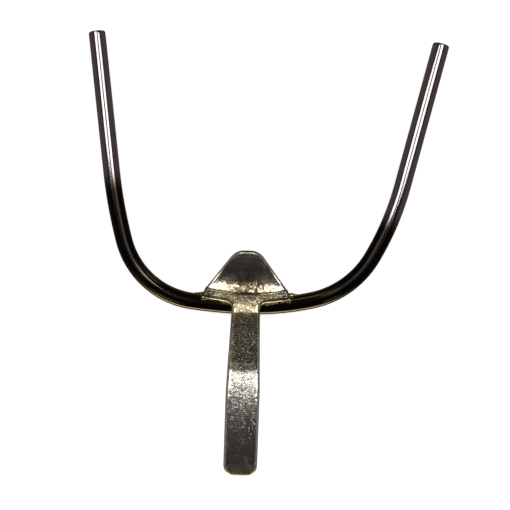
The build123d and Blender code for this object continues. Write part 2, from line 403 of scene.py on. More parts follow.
def run_tree(tree, curve, values):
    """The plain mesh that a tree makes from a curve, with its inputs set by identifier."""
    holder = bpy.data.objects.new(tree.name, curve)
    bpy.context.scene.collection.objects.link(holder)
    modifier = holder.modifiers.new(tree.name, "NODES")
    modifier.node_group = tree
    sockets = {
        item.name: item.identifier for item in tree.interface.items_tree if item.in_out == "INPUT"
    }
    for label, value in values.items():
        modifier[sockets[label]] = value
    graph = bpy.context.evaluated_depsgraph_get()
    mesh = bpy.data.meshes.new_from_object(holder.evaluated_get(graph), depsgraph=graph)
    holder.modifiers.remove(modifier)
    bpy.data.objects.remove(holder)
    bpy.data.curves.remove(curve)
    return mesh


def poly_curve(name, points):
    """A curve of one straight-segment spline."""
    curve = bpy.data.curves.new(name, "CURVE")
    curve.dimensions = "3D"
    spline = curve.splines.new("POLY")
    spline.points.add(len(points) - 1)
    for spot, point in zip(spline.points, points):
        spot.co = (*point, 1.0)
    return curve


def bar_tree():
    """Sweeps the bar along its line, rounds its ends and keeps the straight bar's coordinates."""
    tree, given, made = modifier_tree("bar_sweep", [
        ("Bar Diameter", "NodeSocketFloat"),
        ("End Rounding", "NodeSocketFloat"),
        ("Sides", "NodeSocketInt"),
        ("Material", "NodeSocketMaterial"),
    ])
    radius = maths(tree, "DIVIDE", given.outputs["Bar Diameter"], 2.0)
    spline = add_node(tree, "GeometryNodeSplineParameter")
    total = add_node(tree, "GeometryNodeSplineLength")
    from_start = spline.outputs["Length"]
    to_end = maths(tree, "SUBTRACT", total.outputs["Length"], from_start)
    from_end = maths(tree, "MINIMUM", from_start, to_end)
    rounding = given.outputs["End Rounding"]
    short = maths(tree, "MAXIMUM", maths(tree, "SUBTRACT", rounding, from_end), 0.0)
    rounding_squared = maths(tree, "MULTIPLY", rounding, rounding)
    squares = maths(tree, "SUBTRACT", rounding_squared, maths(tree, "MULTIPLY", short, short))
    root = maths(tree, "SQRT", maths(tree, "MAXIMUM", squares, 0.0))
    ring_r = maths(tree, "SUBTRACT", radius, maths(tree, "SUBTRACT", rounding, root))
    share = maths(tree, "DIVIDE", ring_r, radius)
    along = add_node(tree, "GeometryNodeCaptureAttribute", {"Geometry": given.outputs["Geometry"]})
    along.capture_items.new("FLOAT", "Along")
    tree.links.new(from_start, along.inputs["Along"])
    circle = add_node(tree, "GeometryNodeCurvePrimitiveCircle", {
        "Resolution": given.outputs["Sides"], "Radius": radius,
    })
    place = add_node(tree, "GeometryNodeInputPosition")
    around = add_node(tree, "GeometryNodeCaptureAttribute", {"Geometry": circle.outputs["Curve"]})
    around.capture_items.new("VECTOR", "Around")
    tree.links.new(place.outputs["Position"], around.inputs["Around"])
    sweep = add_node(tree, "GeometryNodeCurveToMesh", {
        "Curve": along.outputs["Geometry"], "Profile Curve": around.outputs["Geometry"],
        "Scale": share, "Fill Caps": True,
    })
    section = axes(tree, around.outputs["Around"])
    straight_bar = add_node(tree, "ShaderNodeCombineXYZ", {
        "X": along.outputs["Along"], "Y": section["X"], "Z": section["Y"],
    })
    stored = add_node(tree, "GeometryNodeStoreNamedAttribute", {
        "Geometry": sweep.outputs["Mesh"],
        "Name": "bar_coords",
        "Value": straight_bar.outputs["Vector"],
    }, data_type="FLOAT_VECTOR", domain="POINT")
    smooth = add_node(tree, "GeometryNodeSetShadeSmooth", {"Geometry": stored.outputs["Geometry"]})
    real = add_node(tree, "GeometryNodeRealizeInstances", {"Geometry": smooth.outputs["Geometry"]})
    coated = add_node(tree, "GeometryNodeSetMaterial", {
        "Geometry": real.outputs["Geometry"], "Material": given.outputs["Material"],
    })
    tree.links.new(coated.outputs["Geometry"], made.inputs["Geometry"])
    return tree


# The Random Value node's sockets for plain numbers, which share their names with its other types
RANDOM_LOW, RANDOM_HIGH, RANDOM_RESULT = 2, 3, 1
# How a weld's ripples are made and fused
RIPPLE_SEGMENTS = 40
RIPPLE_RINGS = 20
RIPPLE_REACH = 1.3  # half length of a ripple along the line, in pitches
RIPPLE_UNEVENNESS = 0.3  # largest share by which a ripple is thinner than its line says
BAND_VOXELS = 4.0  # depth of the fused skin, in voxels
SKIN_THRESHOLD = 0.2  # density at which the fused skin lies
OUTER_SHARE = 0.99  # a surface with less of the largest one's area is a hidden inner one


def bead_tree():
    """Lays uneven ripples along a line, fuses them and keeps the outer surface as one weld bead.

    The bead's radius is the line's own radius.
    """
    tree, given, made = modifier_tree("weld_bead", [
        ("Ripple Pitch", "NodeSocketFloat"),
        ("Ripple Reach", "NodeSocketFloat"),
        ("Unevenness", "NodeSocketFloat"),
        ("Seed", "NodeSocketInt"),
        ("Fusing Size", "NodeSocketFloat"),
        ("Material", "NodeSocketMaterial"),
    ])
    pitch = given.outputs["Ripple Pitch"]
    voxel = given.outputs["Fusing Size"]
    spots = add_node(tree, "GeometryNodeCurveToPoints", {
        "Curve": given.outputs["Geometry"], "Length": pitch,
    }, mode="LENGTH")
    facing = add_node(tree, "FunctionNodeAlignRotationToVector", {
        "Vector": spots.outputs["Tangent"],
    }, axis="X")
    least = maths(tree, "SUBTRACT", 1.0, given.outputs["Unevenness"])
    uneven = add_node(tree, "FunctionNodeRandomValue", {
        RANDOM_LOW: least, RANDOM_HIGH: 1.0, "Seed": given.outputs["Seed"],
    }, data_type="FLOAT")
    radius = add_node(tree, "GeometryNodeInputRadius").outputs["Radius"]
    ripple_r = maths(tree, "MULTIPLY", radius, uneven.outputs[RANDOM_RESULT])
    reach = maths(tree, "MULTIPLY", pitch, given.outputs["Ripple Reach"])
    size = add_node(tree, "ShaderNodeCombineXYZ", {"X": reach, "Y": ripple_r, "Z": ripple_r})
    ball = add_node(tree, "GeometryNodeMeshUVSphere", {
        "Segments": RIPPLE_SEGMENTS, "Rings": RIPPLE_RINGS, "Radius": 1.0,
    })
    ripples = add_node(tree, "GeometryNodeInstanceOnPoints", {
        "Points": spots.outputs["Points"], "Instance": ball.outputs["Mesh"],
        "Rotation": facing.outputs["Rotation"], "Scale": size.outputs["Vector"],
    })
    real = add_node(tree, "GeometryNodeRealizeInstances", {
        "Geometry": ripples.outputs["Instances"],
    })
    solid = add_node(tree, "GeometryNodeMeshToVolume", {
        "Mesh": real.outputs["Geometry"], "Voxel Size": voxel,
        "Interior Band Width": maths(tree, "MULTIPLY", voxel, BAND_VOXELS),
    }, resolution_mode="VOXEL_SIZE")
    skin = add_node(tree, "GeometryNodeVolumeToMesh", {
        "Volume": solid.outputs["Volume"], "Voxel Size": voxel, "Threshold": SKIN_THRESHOLD,
    }, resolution_mode="VOXEL_SIZE")
    island = add_node(tree, "GeometryNodeInputMeshIsland")
    area = add_node(tree, "GeometryNodeInputMeshFaceArea")
    island_area = add_node(tree, "GeometryNodeAccumulateField", {
        "Value": area.outputs["Area"], "Group ID": island.outputs["Island Index"],
    }, domain="FACE").outputs["Total"]
    largest = add_node(tree, "GeometryNodeAttributeStatistic", {
        "Geometry": skin.outputs["Mesh"], "Attribute": island_area,
    }, domain="FACE").outputs["Max"]
    hidden = add_node(tree, "FunctionNodeCompare", {
        "A": island_area, "B": maths(tree, "MULTIPLY", largest, OUTER_SHARE),
    }, operation="LESS_THAN")
    outside = add_node(tree, "GeometryNodeDeleteGeometry", {
        "Geometry": skin.outputs["Mesh"], "Selection": hidden.outputs["Result"],
    }, domain="FACE")
    smooth = add_node(tree, "GeometryNodeSetShadeSmooth", {
        "Geometry": outside.outputs["Geometry"],
    })
    last = add_node(tree, "GeometryNodeRealizeInstances", {"Geometry": smooth.outputs["Geometry"]})
    coated = add_node(tree, "GeometryNodeSetMaterial", {
        "Geometry": last.outputs["Geometry"], "Material": given.outputs["Material"],
    })
    tree.links.new(coated.outputs["Geometry"], made.inputs["Geometry"])
    return tree


# ---- Finishes ------------------------------------------------------------------------


def finish_material(name, metallic=1.0, **fixed):
    """A material, its tree and its shader, with unchanging values on the shader's own sockets."""
    material = bpy.data.materials.new(name)
    material.use_nodes = True
    tree = material.node_tree
    shader = tree.nodes["Principled BSDF"]
    shader.inputs["Metallic"].default_value = metallic
    for label, value in fixed.items():
        shader.inputs[label].default_value = value
    return material, tree, shader


def object_coords(tree):
    """Object coordinates."""
    return add_node(tree, "ShaderNodeTexCoord").outputs["Object"]


def stored_coords(tree, name):
    """Coordinates stored on the mesh."""
    return add_node(tree, "ShaderNodeAttribute", attribute_name=name).outputs["Vector"]


def stretched(tree, vector, scale):
    """Coordinates stretched along each axis."""
    return add_node(tree, "ShaderNodeMapping", {"Vector": vector, "Scale": scale}).outputs["Vector"]


def noise(tree, vector, scale, detail, roughness):
    """Noise from 0 to 1, with about this many spots to a metre, detailed and roughened."""
    return add_node(tree, "ShaderNodeTexNoise", {
        "Vector": vector, "Scale": scale, "Detail": detail, "Roughness": roughness,
    }).outputs["Fac"]


def ranged(tree, value, low, high, to_low=0.0, to_high=1.0):
    """A value mapped smoothly from one range to another, clamped."""
    return add_node(tree, "ShaderNodeMapRange", {
        "Value": value, "From Min": low, "From Max": high, "To Min": to_low, "To Max": to_high,
    }, interpolation_type="SMOOTHSTEP").outputs["Result"]


# The Mix node's sockets for colours, which share their names with its other types
MIX_FACTOR, MIX_FIRST, MIX_SECOND, MIX_RESULT = 0, 6, 7, 2


def blended(tree, factor, first, second, mode="MIX"):
    """Two colours mixed."""
    inputs = {MIX_FACTOR: factor, MIX_FIRST: first, MIX_SECOND: second}
    for key in (MIX_FIRST, MIX_SECOND):
        if not isinstance(inputs[key], bpy.types.NodeSocket):
            inputs[key] = (*inputs[key], 1.0)
    node = add_node(tree, "ShaderNodeMix", inputs, data_type="RGBA", blend_type=mode)
    return node.outputs[MIX_RESULT]


def facets(tree, vector, scale):
    """Height of small flats, each tilted its own way, to be scaled by the slope wanted."""
    cells = add_node(tree, "ShaderNodeTexVoronoi", {"Vector": vector, "Scale": scale})
    offset = vector_maths(tree, "SUBTRACT", vector, cells.outputs["Position"])
    tilt = vector_maths(tree, "SUBTRACT", cells.outputs["Color"], (0.5, 0.5, 0.5))
    return vector_maths(tree, "DOT_PRODUCT", offset, tilt)


def roughness(tree, shader, first, *others):
    """Links the sum of several parts to the shader's roughness."""
    total = first
    for part in others:
        total = maths(tree, "ADD", total, part)
    tree.links.new(total, shader.inputs["Roughness"])


def bumps(tree, shader, layers):
    """Bump from several heights in turn: (height, distance in metres, strength)."""
    normal = None
    for height, distance, strength in layers:
        inputs = {"Height": height, "Distance": distance, "Strength": strength}
        if normal is not None:
            inputs["Normal"] = normal
        normal = add_node(tree, "ShaderNodeBump", inputs).outputs["Normal"]
    tree.links.new(normal, shader.inputs["Normal"])


# Noise on the round bar, in spots to a metre: along it, then across it both ways
DRAW_LINES = (60, 2600, 2600)
BAR_SMEARS = (45, 160, 160)
# Noise that is alike in every direction, in spots to a metre
BAR_GRAIN = 900.0
STRIP_DIMPLES = 1500.0
STRIP_GRAIN = 2900.0
STRIP_PATCHES = 90.0
STRIP_FLATS = 1100.0
SCORCH_BLOTCHES = 620.0
WELD_PATCHES = 220.0
WELD_GRAIN = 2200.0
FLAT_SLOPE = 0.11  # slope of the small flats that tumbling leaves on the strip
# Middles of the marks of heat, and of the painted shade on the bar's lower arms
BROWN_AND_SHADE_MIDDLE = -7 * MM  # along the bar from the crossing
TINT_MIDDLE = 4 * MM  # behind the bar's line
SCORCH_MIDDLE = 10 * MM  # behind the bar's line, at the tongue's root
SCORCH_SHAPE = (0.5, 1.0, 0.0)  # twice as wide as long, and right through the plate
# Distances over which the marks change, from their middles
BROWN_AND_SHADE_FADES = (88 * MM, 100 * MM)
# Where the near-black painted shade comes in on the bar's lower arms
PAINTED_SHADE_STARTS = (38 * MM, 56 * MM)
TINT_FADES = (6 * MM, 24 * MM)
WINGS_BROWN = (15 * MM, 18.5 * MM)
SCORCH_FADES = (3.4 * MM, 5.6 * MM)


def polished_bar(finish, weld_at):
    """Drawn and polished round bar, browned by heat on both sides of the weld, with painted shade
    that hides the lamps' highlights on the lower arms.
    """
    material, tree, shader = finish_material("polished_bar")
    coords = stored_coords(tree, "bar_coords")
    lines = noise(tree, stretched(tree, coords, DRAW_LINES), 1.0, 3.0, 0.6)
    smears = noise(tree, stretched(tree, coords, BAR_SMEARS), 1.0, 4.0, 0.6)
    grain = noise(tree, object_coords(tree), BAR_GRAIN, 3.0, 0.65)
    film = ranged(tree, smears, 0.42, 0.72, 0.0, 0.28)
    along = axes(tree, coords)["X"]
    # Painted shade on the bar: the browned band, partly heat tint, darkens the lower arms to dim
    # the lamps' highlights, and a near-black band inside it hides them.
    from_weld = maths(tree, "ABSOLUTE", maths(tree, "SUBTRACT", along, weld_at + BROWN_AND_SHADE_MIDDLE))
    heat_brown_and_shade = ranged(tree, from_weld, *BROWN_AND_SHADE_FADES, 1.0, 0.0)
    painted_shade_band = maths(tree, "MULTIPLY", heat_brown_and_shade, ranged(tree, from_weld, *PAINTED_SHADE_STARTS))
    base = blended(tree, film, finish.steel, finish.stain)
    base = blended(tree, heat_brown_and_shade, base, finish.browned)
    base = blended(tree, painted_shade_band, base, finish.scale)
    tree.links.new(base, shader.inputs["Base Color"])
    roughness(
        tree, shader,
        ranged(tree, smears, 0.3, 0.75, 0.06, 0.11),
        ranged(tree, lines, 0.35, 0.7, 0.0, 0.04),
        maths(tree, "MULTIPLY", painted_shade_band, 0.12),
    )
    bumps(tree, shader, [(lines, 0.00001, 0.25), (grain, 0.00002, 0.3)])
    return material


def tumbled_strip(finish):
    """Flat bar after tumbling: satin, dimpled and faceted, with the marks of welding.

    It is straw-coloured near the weld, browned at the wing tips and scorched at the tongue's root.
    """
    material, tree, shader = finish_material("tumbled_strip")
    coords = object_coords(tree)
    dimples = noise(tree, coords, STRIP_DIMPLES, 3.0, 0.6)
    grain = noise(tree, coords, STRIP_GRAIN, 2.0, 0.6)
    patches = noise(tree, coords, STRIP_PATCHES, 3.0, 0.6)
    blotches = noise(tree, coords, SCORCH_BLOTCHES, 3.0, 0.7)
    film = maths(
        tree, "MAXIMUM",
        ranged(tree, patches, 0.42, 0.78, 0.0, 0.28),
        ranged(tree, dimples, 0.45, 0.75, 0.0, 0.4),
    )
    base = blended(tree, film, finish.strip, finish.stain)
    crossing = (CROSS_X, CROSS_Y + TINT_MIDDLE, BAR_D)
    near = ranged(tree, vector_maths(tree, "DISTANCE", coords, crossing), *TINT_FADES, 0.75, 0.0)
    base = blended(tree, near, base, finish.tint)
    across = maths(tree, "ABSOLUTE", maths(tree, "SUBTRACT", axes(tree, coords)["X"], CROSS_X))
    base = blended(tree, ranged(tree, across, *WINGS_BROWN, 0.0, 0.75), base, finish.browned)
    spot = tuple(
        at * share for at, share in zip((CROSS_X, CROSS_Y + SCORCH_MIDDLE, 0.0), SCORCH_SHAPE)
    )
    from_spot = vector_maths(tree, "DISTANCE", stretched(tree, coords, SCORCH_SHAPE), spot)
    scorched = maths(
        tree, "MULTIPLY",
        ranged(tree, blotches, 0.4, 0.56),
        ranged(tree, from_spot, *SCORCH_FADES, 0.9, 0.0),
    )
    base = blended(tree, scorched, base, finish.browned)
    tree.links.new(base, shader.inputs["Base Color"])
    roughness(
        tree, shader,
        ranged(tree, patches, 0.3, 0.7, 0.16, 0.21),
        ranged(tree, grain, 0.3, 0.7, 0.0, 0.06),
    )
    bumps(tree, shader, [
        (facets(tree, coords, STRIP_FLATS), FLAT_SLOPE, 1.0),
        (dimples, 0.00002, 0.8),
        (grain, 0.00003, 0.5),
    ])
    return material


def weld_metal(finish):
    """Bare weld: straw to brown heat tint and fine roughness."""
    material, tree, shader = finish_material("weld_metal")
    coords = object_coords(tree)
    patches = noise(tree, coords, WELD_PATCHES, 3.0, 0.6)
    grain = noise(tree, coords, WELD_GRAIN, 2.0, 0.6)
    base = blended(tree, ranged(tree, patches, 0.42, 0.62), finish.browned, finish.tint)
    tree.links.new(base, shader.inputs["Base Color"])
    roughness(tree, shader, ranged(tree, grain, 0.3, 0.7, 0.13, 0.24))
    bumps(tree, shader, [(patches, 0.0002, 0.4), (grain, 0.00004, 0.4)])
    return material


# ---- Pieces --------------------------------------------------------------------------


END_STEPS = 6  # rings in the rounding of each end of the bar
SIDE_STEP = 0.2 * MM  # spacing of the points of a strip's side line
STRAP_OUTLINE_STEP, STRAP_GRID = 0.5 * MM, 0.6 * MM  # spacing of the strap's points
TONGUE_OUTLINE_STEP, TONGUE_GRID = 0.35 * MM, 0.5 * MM  # spacing of the tongue's points
RIM_STEPS = 8  # points on each half of the rim's arc
GRIP_BLEND_R = 60 * MM  # where the neck's taper runs into the grip
HEAD_CORNER_EXTRA = 0.4 * MM  # keeps the head's corners rounder than the strap's edges
HEAD_BACK_CORNER_R = 3 * MM
HEAD_BACK_INSET = 1 * MM  # keeps the head's back corners out of sight under the tongue


def bar_line(bar):
    """Points of the bar's middle line, from the left end to the right."""
    arms = []
    for heading, bends, prong in (
        (math.pi, (
            (bar.left_base_r, -bar.left_base_turn),
            (bar.left_corner_r, -bar.left_corner_turn),
            (bar.left_ease_r, -bar.left_ease_turn),
        ), bar.left_prong),
        (0.0, (
            (bar.right_base_r, bar.right_base_turn),
            (bar.right_corner_r, bar.right_corner_turn),
            (bar.right_ease_r, bar.right_ease_turn),
        ), bar.right_prong),
    ):
        steps = [*bends, (None, prong - bar.end_round)]
        rows = bend_points((CROSS_X, CROSS_Y), heading, steps, bar.ring_spacing)
        x, y, turned = rows[-1]
        points = [Vector((row[0], row[1])) for row in rows]
        for k in range(1, END_STEPS + 1):
            ahead = bar.end_round * math.sin(math.pi / 2 * k / END_STEPS)
            points.append(Vector((x + ahead * math.cos(turned), y + ahead * math.sin(turned))))
        arms.append(points)
    left, right = arms
    return [(p.x, p.y, bar.diameter / 2) for p in [*reversed(left), *right[1:]]]


class FRAMEFORK_OT_bar(bpy.types.Operator):
    """Make the bent round bar with its two prongs"""

    bl_idname = "framefork.bar"
    bl_label = "Bent bar"

    def execute(self, context):
        bar = context.scene.frame_fork_bar
        left_length = (
            bar.left_base_r * bar.left_base_turn + bar.left_corner_r * bar.left_corner_turn
            + bar.left_ease_r * bar.left_ease_turn + bar.left_prong
        )
        material = polished_bar(context.scene.frame_fork_finish, left_length)
        mesh = run_tree(bar_tree(), poly_curve("bar_line", bar_line(bar)), {
            "Bar Diameter": bar.diameter,
            "End Rounding": bar.end_round,
            "Sides": bar.sides,
            "Material": material,
        })
        mesh.name = "bar_polished"
        finished("bar_polished", mesh, material, "polished_bar", "fork_rod")
        return {"FINISHED"}


def side_line(steps, start, heading=0.0):
    """Places in plan, heights and slopes along a bent strip's middle line, for interpolation."""
    return np.array(bend_points(start, heading, steps, SIDE_STEP)).T


def rim_corner_y(tongue):
    """How far the two ends of the rim's arc lie behind the bar's line."""
    return tongue.rim_y + tongue.rim_r - math.sqrt(tongue.rim_r**2 - tongue.half_w**2)


def strap_corners(strap, tongue, end):
    """The handle's plan, anticlockwise, as corners with radii."""
    back = strap.head_back
    side_y = rim_corner_y(tongue)
    run = (tongue.tip_y - back) / (tongue.tip_y - side_y)
    tongue_half_w = tongue.tip_half_w + run * (tongue.half_w - tongue.tip_half_w)
    back_half_w = tongue_half_w - 2 * tongue.edge_r - HEAD_BACK_INSET
    right = [
        (strap.grip_w / 2, -end, strap.end_r),
        (strap.grip_w / 2, -strap.grip_start, GRIP_BLEND_R),
        (strap.neck_w / 2, strap.wing_front, strap.neck_fillet),
        (strap.wing_half_w, strap.wing_tip_y, strap.wing_tip_r),
        (tongue.half_w, side_y + strap.proud, strap.edge_r + HEAD_CORNER_EXTRA),
        (back_half_w, back, HEAD_BACK_CORNER_R),
    ]
    return right + [(-x, y, r) for x, y, r in reversed(right)]


class FRAMEFORK_OT_strap(bpy.types.Operator):
    """Make the arched handle with its neck and winged head"""

    bl_idname = "framefork.strap"
    bl_label = "Handle strap"

    def execute(self, context):
        strap, tongue = context.scene.frame_fork_strap, context.scene.frame_fork_tongue
        bar_d = context.scene.frame_fork_bar.diameter
        middle_z = bar_d - strap.seat + strap.thickness / 2
        steps = [
            (None, strap.head_back - strap.neck_back),
            (strap.neck_r, strap.neck_turn),
            (strap.rise_r, strap.rise_turn),
            (None, strap.rise),
            (strap.crest_r, -strap.crest_turn),
            (strap.arch_r, -strap.arch_turn),
        ]
        forward, height, slope = side_line(steps, (-strap.head_back, middle_z))

        def place(x, y, h):
            z = np.interp(-y, forward, height)
            lean = np.interp(-y, forward, slope)
            return (CROSS_X + x, CROSS_Y + y + h * math.sin(lean), z + h * math.cos(lean))

        outline = rounded_outline(strap_corners(strap, tongue, forward[-1]), STRAP_OUTLINE_STEP)
        mesh = plate_mesh(
            "handle_tumbled", outline, strap.thickness, strap.edge_r, place, STRAP_GRID
        )
        material = tumbled_strip(context.scene.frame_fork_finish)
        finished("handle_tumbled", mesh, material, "tumbled_strip", "handle_strap")
        return {"FINISHED"}


class FRAMEFORK_OT_tongue(bpy.types.Operator):
    """Make the dished tongue that curls up behind the head"""

    bl_idname = "framefork.tongue"
    bl_label = "Tongue"

    def execute(self, context):
        strap, tongue = context.scene.frame_fork_strap, context.scene.frame_fork_tongue
        bar_d = context.scene.frame_fork_bar.diameter
        middle_z = bar_d - strap.seat + strap.thickness - tongue.seat + tongue.thickness / 2
        curl_run = tongue.tip_y - tongue.rim_y - tongue.flat * math.cos(tongue.dip)
        curl_r = curl_run / (math.sin(tongue.curl) + math.sin(tongue.dip))
        steps = [(None, tongue.flat), (curl_r, tongue.curl + tongue.dip)]
        behind, height, slope = side_line(steps, (tongue.rim_y, middle_z), -tongue.dip)
        axis_z = middle_z + tongue.dish_r

        def place(x, y, h):
            z = np.interp(y, behind, height)
            lean = np.interp(y, behind, slope)
            swing = math.asin(x / (axis_z - z))
            from_axis = axis_z - z - h * math.cos(lean)
            across, down = from_axis * math.sin(swing), from_axis * math.cos(swing)
            return (CROSS_X + across, CROSS_Y + (y - h * math.sin(lean)), axis_z - down)

        half_turn = math.asin(tongue.half_w / tongue.rim_r)
        rim = []
        for k in range(-RIM_STEPS, RIM_STEPS + 1):
            part = half_turn * k / RIM_STEPS
            rim_x = tongue.rim_r * math.sin(part)
            rim_y = tongue.rim_y + tongue.rim_r * (1 - math.cos(part))
            rim.append((rim_x, rim_y, tongue.corner_r if abs(k) == RIM_STEPS else 0.0))
        corners = rim + [
            (tongue.tip_half_w, tongue.tip_y, tongue.tip_r),
            (-tongue.tip_half_w, tongue.tip_y, tongue.tip_r),
        ]
        outline = rounded_outline(corners, TONGUE_OUTLINE_STEP)
        mesh = plate_mesh(
            "tongue_dished", outline, tongue.thickness, tongue.edge_r, place, TONGUE_GRID
        )
        material = tumbled_strip(context.scene.frame_fork_finish)
        finished("tongue_dished", mesh, material, "tumbled_strip", "thumb_tongue")
        return {"FINISHED"}


# Where the weld runs lie
REAR_RUN_OUT = 5 * MM  # how far the rear bead runs on past the wing tips, under the wings
REAR_TAPER = 6 * MM  # the length over which it would thin out to nothing
UNDER_HEAD = 1.2 * MM  # depth of the rear and neck beads below the head's underside
BACK_HALF = 8.8 * MM  # half length of the bead behind the head
BACK_DEPTH = 1.7 * MM  # its depth below the head's top
FRONT_PROUD = 0.7 * MM  # height of the front beads above the head's underside
FRONT_BACKSET = 0.1 * MM  # their distance behind the wings' front edges
FRONT_PAST_TIP = 0.8 * MM  # how far they run on where the wing tips' rounding starts
FRONT_SHARES = (0.8, 0.5)  # share of their radius at the neck, and what is added towards the tips
RIM_END_INSET = 2.4 * MM  # the tongue's side beads stop this far short of its corners
RIM_BACKSET = 1.6 * MM  # and lie this far behind its rim
RIM_START_SHARE = 1.2  # and start where the gap under the dish is wide enough
RIM_OVERLAP = 0.2 * MM  # and are this much thicker than half the gap


def bead_lines(bar, strap, tongue, welds):
    """Name, node and line of each weld bead, as (x, y, z, radius) from the crossing."""
    under = bar.diameter - strap.seat
    top = under + strap.thickness
    tip_x = strap.wing_half_w - strap.wing_tip_r
    near_x = strap.neck_w / 2 + strap.neck_fillet
    neck_half = strap.neck_w / 2 - welds.neck_r
    rim_start = RIM_START_SHARE * math.sqrt(2 * tongue.dish_r * tongue.seat)
    rim_end = tongue.half_w - RIM_END_INSET - tongue.edge_r

    def rear(t):
        x = t * (tip_x + REAR_RUN_OUT)
        bend_r = bar.left_base_r if x < 0 else bar.right_base_r
        radius = welds.rear_r * (1 - max(0.0, abs(x) - tip_x) / REAR_TAPER)
        return (x, bar.diameter / 2 + x * x / (2 * bend_r), under - UNDER_HEAD, radius)

    def neck(t):
        return (t * neck_half, -bar.diameter / 2, under - UNDER_HEAD, welds.neck_r)

    def back(t):
        return (t * BACK_HALF, strap.head_back, top - BACK_DEPTH, welds.back_r)

    def front(t, side):
        part = (t + 1) / 2
        x = near_x + part * (tip_x + FRONT_PAST_TIP - near_x)
        y = strap.wing_front + part * (strap.wing_tip_y - strap.wing_front) + FRONT_BACKSET
        radius = welds.front_r * (FRONT_SHARES[0] + FRONT_SHARES[1] * part**4)
        return (side * x, y, under + FRONT_PROUD, radius)

    def rim(t, side):
        x = rim_start + (t + 1) / 2 * (rim_end - rim_start)
        y = tongue.rim_y + tongue.rim_r - math.sqrt((tongue.rim_r - RIM_BACKSET) ** 2 - x * x)
        gap = x * x / (2 * tongue.dish_r) - tongue.seat
        return (side * x, y, top + gap / 2, gap / 2 + RIM_OVERLAP)

    def line(count, place, *side):
        return [place(2 * i / count - 1, *side) for i in range(count + 1)]

    runs = [
        ("bead_rear", "weld_rear", line(40, rear)),
        ("bead_neck", "weld_neck", line(10, neck)),
        ("bead_tongue_back", "weld_tongue_back", line(20, back)),
    ]
    for side, label in ((-1, "left"), (1, "right")):
        runs.append((f"bead_front_{label}", f"weld_front_{label}", line(16, front, side)))
        runs.append((f"bead_tongue_{label}", f"weld_tongue_{label}", line(12, rim, side)))
    return runs


class FRAMEFORK_OT_welds(bpy.types.Operator):
    """Make the weld beads that join the handle, bar and tongue"""

    bl_idname = "framefork.welds"
    bl_label = "Weld beads"

    def execute(self, context):
        scene = context.scene
        welds = scene.frame_fork_welds
        material = weld_metal(scene.frame_fork_finish)
        tree = bead_tree()
        runs = bead_lines(
            scene.frame_fork_bar, scene.frame_fork_strap, scene.frame_fork_tongue, welds
        )
        for i, (name, node, line) in enumerate(runs):
            curve = poly_curve(name, [(CROSS_X + x, CROSS_Y + y, z) for x, y, z, _ in line])
            for spot, row in zip(curve.splines[0].points, line):
                spot.radius = row[3]
            mesh = run_tree(tree, curve, {
                "Ripple Pitch": welds.pitch,
                "Ripple Reach": RIPPLE_REACH,
                "Unevenness": RIPPLE_UNEVENNESS,
                "Seed": welds.seed + i,
                "Fusing Size": welds.voxel,
                "Material": material,
            })
            if not mesh.polygons:
                raise RuntimeError(f"{name} came out empty")
            mesh.name = name
            finished(name, mesh, material, "weld_metal", node)
        return {"FINISHED"}


# ---- Stage ---------------------------------------------------------------------------


BLACK = (0.0, 0.0, 0.0)
# What the metal mirrors: the room along the fork and above it, at both sides, and below it
ROOM_ALONG = (0.014, 0.014, 0.015)
ROOM_SIDES = (0.2, 0.165, 0.185)
ROOM_BELOW = (0.2, 0.165, 0.115)
SIDES_START = (0.5, 0.9)  # sideways share of the direction
BELOW_STARTS = (0.0, -0.6)  # upward share of the direction
# Soft round lights: direction, degrees of full light, degrees to no light, colour
SOFT_LIGHTS = (
    ((-0.25, 0.8, 0.6), 3, 15, (0.5, 0.43, 0.28)),
    ((-0.55, 0.75, 0.36), 2, 9, (0.6, 0.57, 0.52)),
    ((0.55, 0.75, 0.36), 2, 9, (0.6, 0.57, 0.52)),
    ((-0.42, -0.8, 0.42), 3, 13, (0.5, 0.42, 0.25)),
    ((0.46, -0.76, 0.46), 3, 10, (0.6, 0.58, 0.52)),
)
# A long low light in front, which draws a golden line along the bar
GOLDEN_STRIP = (5.0, 4.2, 2.4)
GOLDEN_STRIP_DROP = 0.27  # its middle, below the horizon
GOLDEN_STRIP_EDGES = (0.06, 0.14)
GOLDEN_STRIP_ENDS = (0.62, 0.9)
PALE_STRENGTH = 1.15  # of the plain light on everything


def softbox(tree, direction, aim, inner, outer, light):
    """A soft round patch of light in the surroundings, inner and outer in degrees."""
    to_aim = vector_maths(tree, "DOT_PRODUCT", direction, Vector(aim).normalized())
    outer_cos, inner_cos = math.cos(math.radians(outer)), math.cos(math.radians(inner))
    return blended(tree, ranged(tree, to_aim, outer_cos, inner_cos), BLACK, light)


